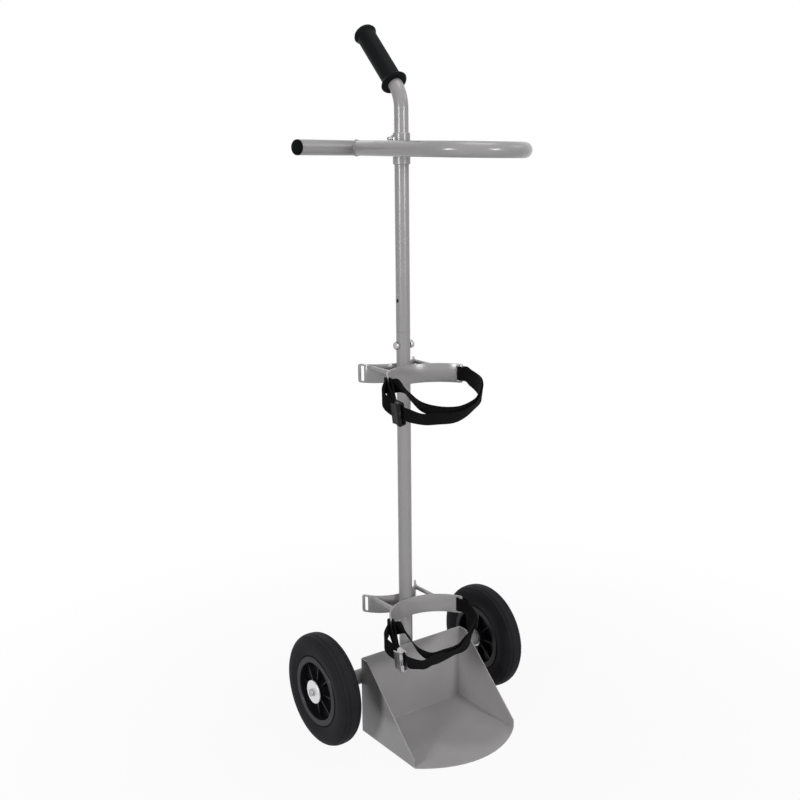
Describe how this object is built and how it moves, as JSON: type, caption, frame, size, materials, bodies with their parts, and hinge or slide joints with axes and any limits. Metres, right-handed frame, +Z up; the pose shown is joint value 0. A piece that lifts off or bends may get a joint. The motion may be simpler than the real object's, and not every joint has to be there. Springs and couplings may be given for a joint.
{
  "type": "gas cylinder cart",
  "caption": "Two-wheeled hand cart for a gas cylinder: round column on an axle, folded tray, curved strap saddles, clamp-on hose hoop and a bent handle with a rubber grip",
  "frame": {"origin": "the middle of the tray's underside, on the ground", "axes": "+Z up along the column, X across the cart along the axle, -Y to the front where the cylinder stands"},
  "size_m": [0.4307, 0.4007, 1.2542],
  "materials": {
    "painted_steel": "satin grey paint",
    "zinc": "zinc plated",
    "tyre_rubber": "matt black rubber",
    "grip_rubber": "matt black",
    "black_plastic": "satin black",
    "pale_plastic": "plain",
    "black_webbing": "woven black webbing",
    "black_metal": "satin black"
  },
  "bodies": {
    "frame": {"tray": "painted_steel", "axle_tube": "painted_steel", "lower_column": "painted_steel", "column_spigot": "painted_steel", "upper_column": "painted_steel", "upper_front_saddle": "painted_steel", "upper_rear_saddle": "painted_steel", "upper_brace_left": "painted_steel", "upper_brace_right": "painted_steel", "upper_strap": "black_webbing", "upper_holder": "black_webbing", "upper_buckle_frame": "black_metal", "upper_buckle_pin": "zinc", "upper_cam_spring": "zinc", "lower_front_saddle": "painted_steel", "lower_rear_saddle": "painted_steel", "lower_brace_left": "painted_steel", "lower_brace_right": "painted_steel", "lower_strap": "black_webbing", "lower_holder": "black_webbing", "lower_buckle_frame": "zinc", "lower_buckle_pin": "zinc", "lower_cam_spring": "zinc", "axle_rod": "zinc", "column_bolt": "zinc", "column_nut": "zinc", "handle_grip": "grip_rubber", "left_hub_washer": "zinc", "left_axle_bolt": "zinc", "left_spacer_washer": "zinc", "right_hub_washer": "zinc", "right_axle_bolt": "zinc", "right_spacer_washer": "zinc"},
    "hoop": {"hoop_sleeve": "painted_steel", "hoop_tube": "painted_steel", "hoop_end_plug": "black_plastic", "hoop_clamp_nut": "zinc", "hoop_clamp_screw": "zinc"},
    "left_wheel": {"left_tyre": "tyre_rubber", "left_rim": "black_plastic", "left_hub_bush": "pale_plastic"},
    "right_wheel": {"right_tyre": "tyre_rubber", "right_rim": "black_plastic", "right_hub_bush": "pale_plastic"},
    "upper_lever": {"upper_cam_lever": "black_metal"},
    "lower_lever": {"lower_cam_lever": "zinc"}
  },
  "joints": [
    {"name": "left_wheel_spin", "type": "hinge", "parent": "frame", "child": "left_wheel", "pos_m": [-0.1855, 0.09375, 0.1015], "axis": [1, 0, 0], "continuous": true},
    {"name": "right_wheel_spin", "type": "hinge", "parent": "frame", "child": "right_wheel", "pos_m": [0.1855, 0.09375, 0.1015], "axis": [1, 0, 0], "continuous": true},
    {"name": "hoop_slide", "type": "slide", "parent": "frame", "child": "hoop", "axis": [0, 0, 1], "range_m": [-0.24, 0.03]},
    {"name": "upper_lever_press", "type": "hinge", "parent": "frame", "child": "upper_lever", "pos_m": [-0.10412, -0.03165, 0.61871], "axis": [0.1736, 0.0858, -0.9811], "range_deg": [0, 18], "stiffness_Nm_per_rad": 0.06, "springref_deg": -20.05},
    {"name": "lower_lever_press", "type": "hinge", "parent": "frame", "child": "lower_lever", "pos_m": [-0.10412, -0.03165, 0.17871], "axis": [0.1736, 0.0858, -0.9811], "range_deg": [0, 18], "stiffness_Nm_per_rad": 0.06, "springref_deg": -20.05}
  ]
}
